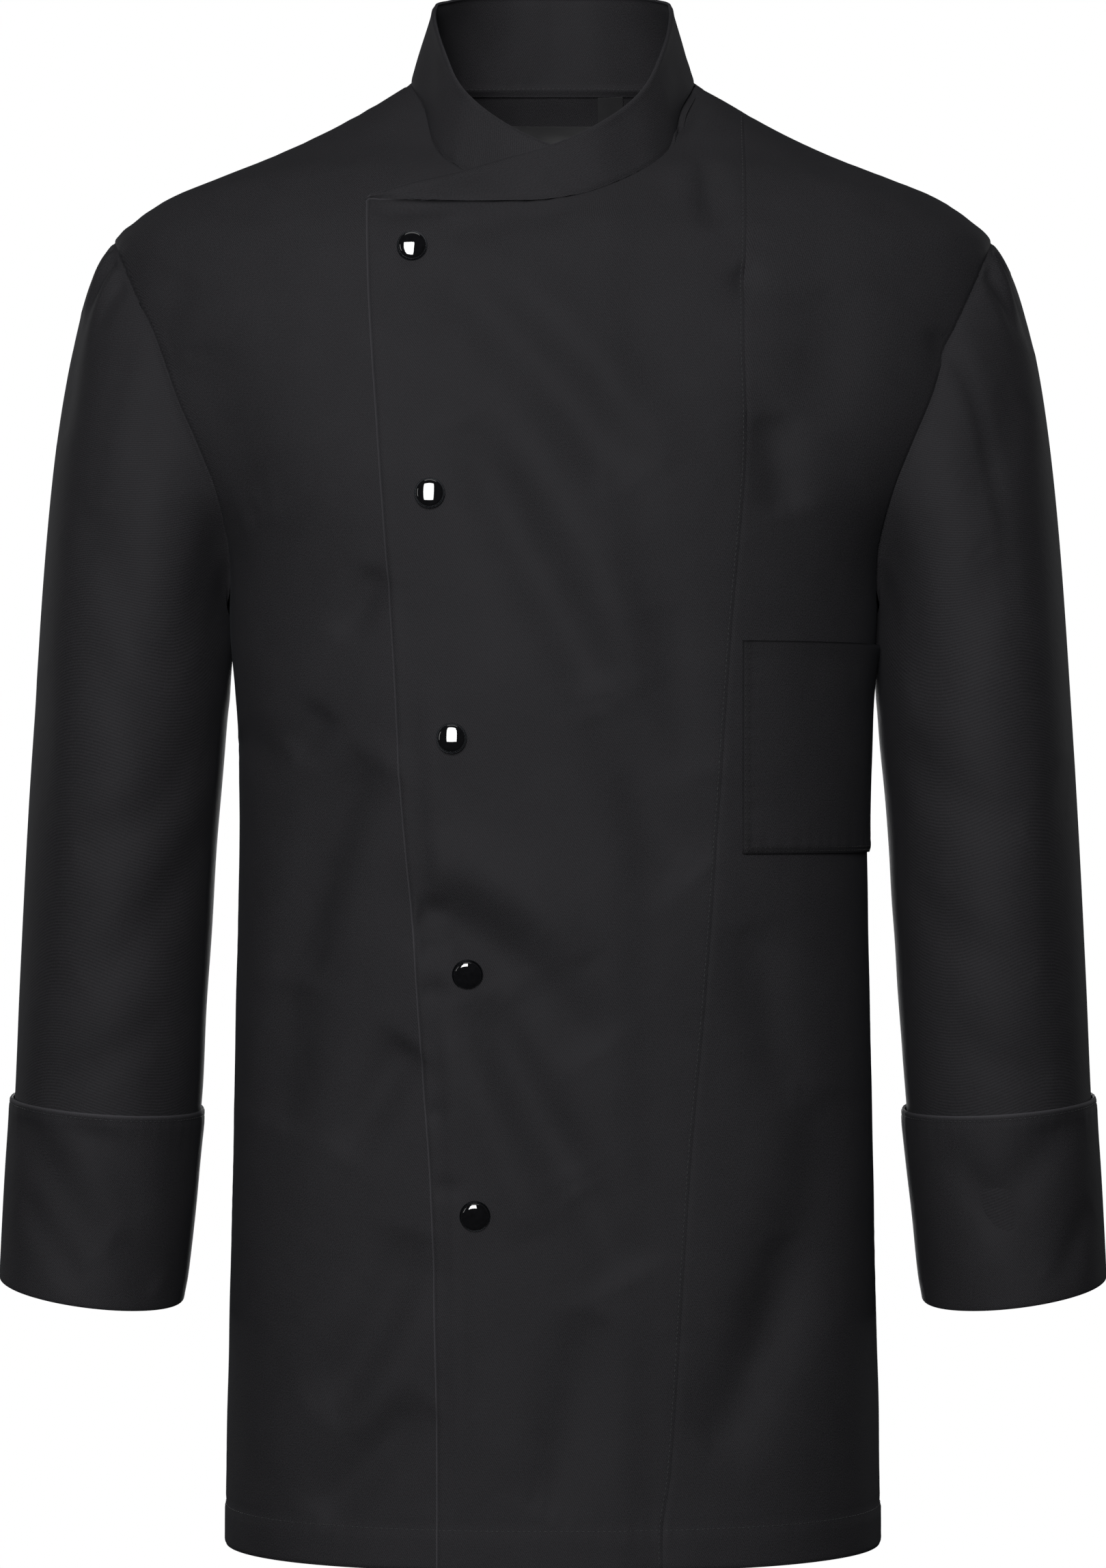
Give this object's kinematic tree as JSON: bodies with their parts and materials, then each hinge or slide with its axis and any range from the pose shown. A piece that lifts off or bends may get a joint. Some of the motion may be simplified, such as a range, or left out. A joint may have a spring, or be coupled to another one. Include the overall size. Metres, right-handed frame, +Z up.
{
  "type": "chef jacket",
  "caption": "Long-sleeved chef jacket with a diagonal double-breasted press-stud front, crossover stand collar, turned-back cuffs and a side patch pocket, worn form.",
  "frame": {"origin": "middle of the neck base, level with the points where the shoulders meet the collar, where the wearer's neck stands", "axes": "+Z up, the front faces -Y, +X is the wearer's left"},
  "size_m": [0.624, 0.2414, 0.8782],
  "materials": {
    "twill": "matt black twill",
    "stud": "glossy black dome",
    "label": "smooth woven label, bare"
  },
  "bodies": {
    "root": {"back": "twill", "front_right": "twill", "front_left": "twill", "front_left_side": "twill", "collar": "twill", "sleeve_right": "twill", "sleeve_left": "twill", "cuff_right": "twill", "cuff_left": "twill", "pocket": "twill", "stud_1": "stud", "stud_2": "stud", "stud_3": "stud", "stud_4": "stud", "stud_5": "stud", "neck_label": "label", "size_tab": "label"}
  },
  "joints": []
}
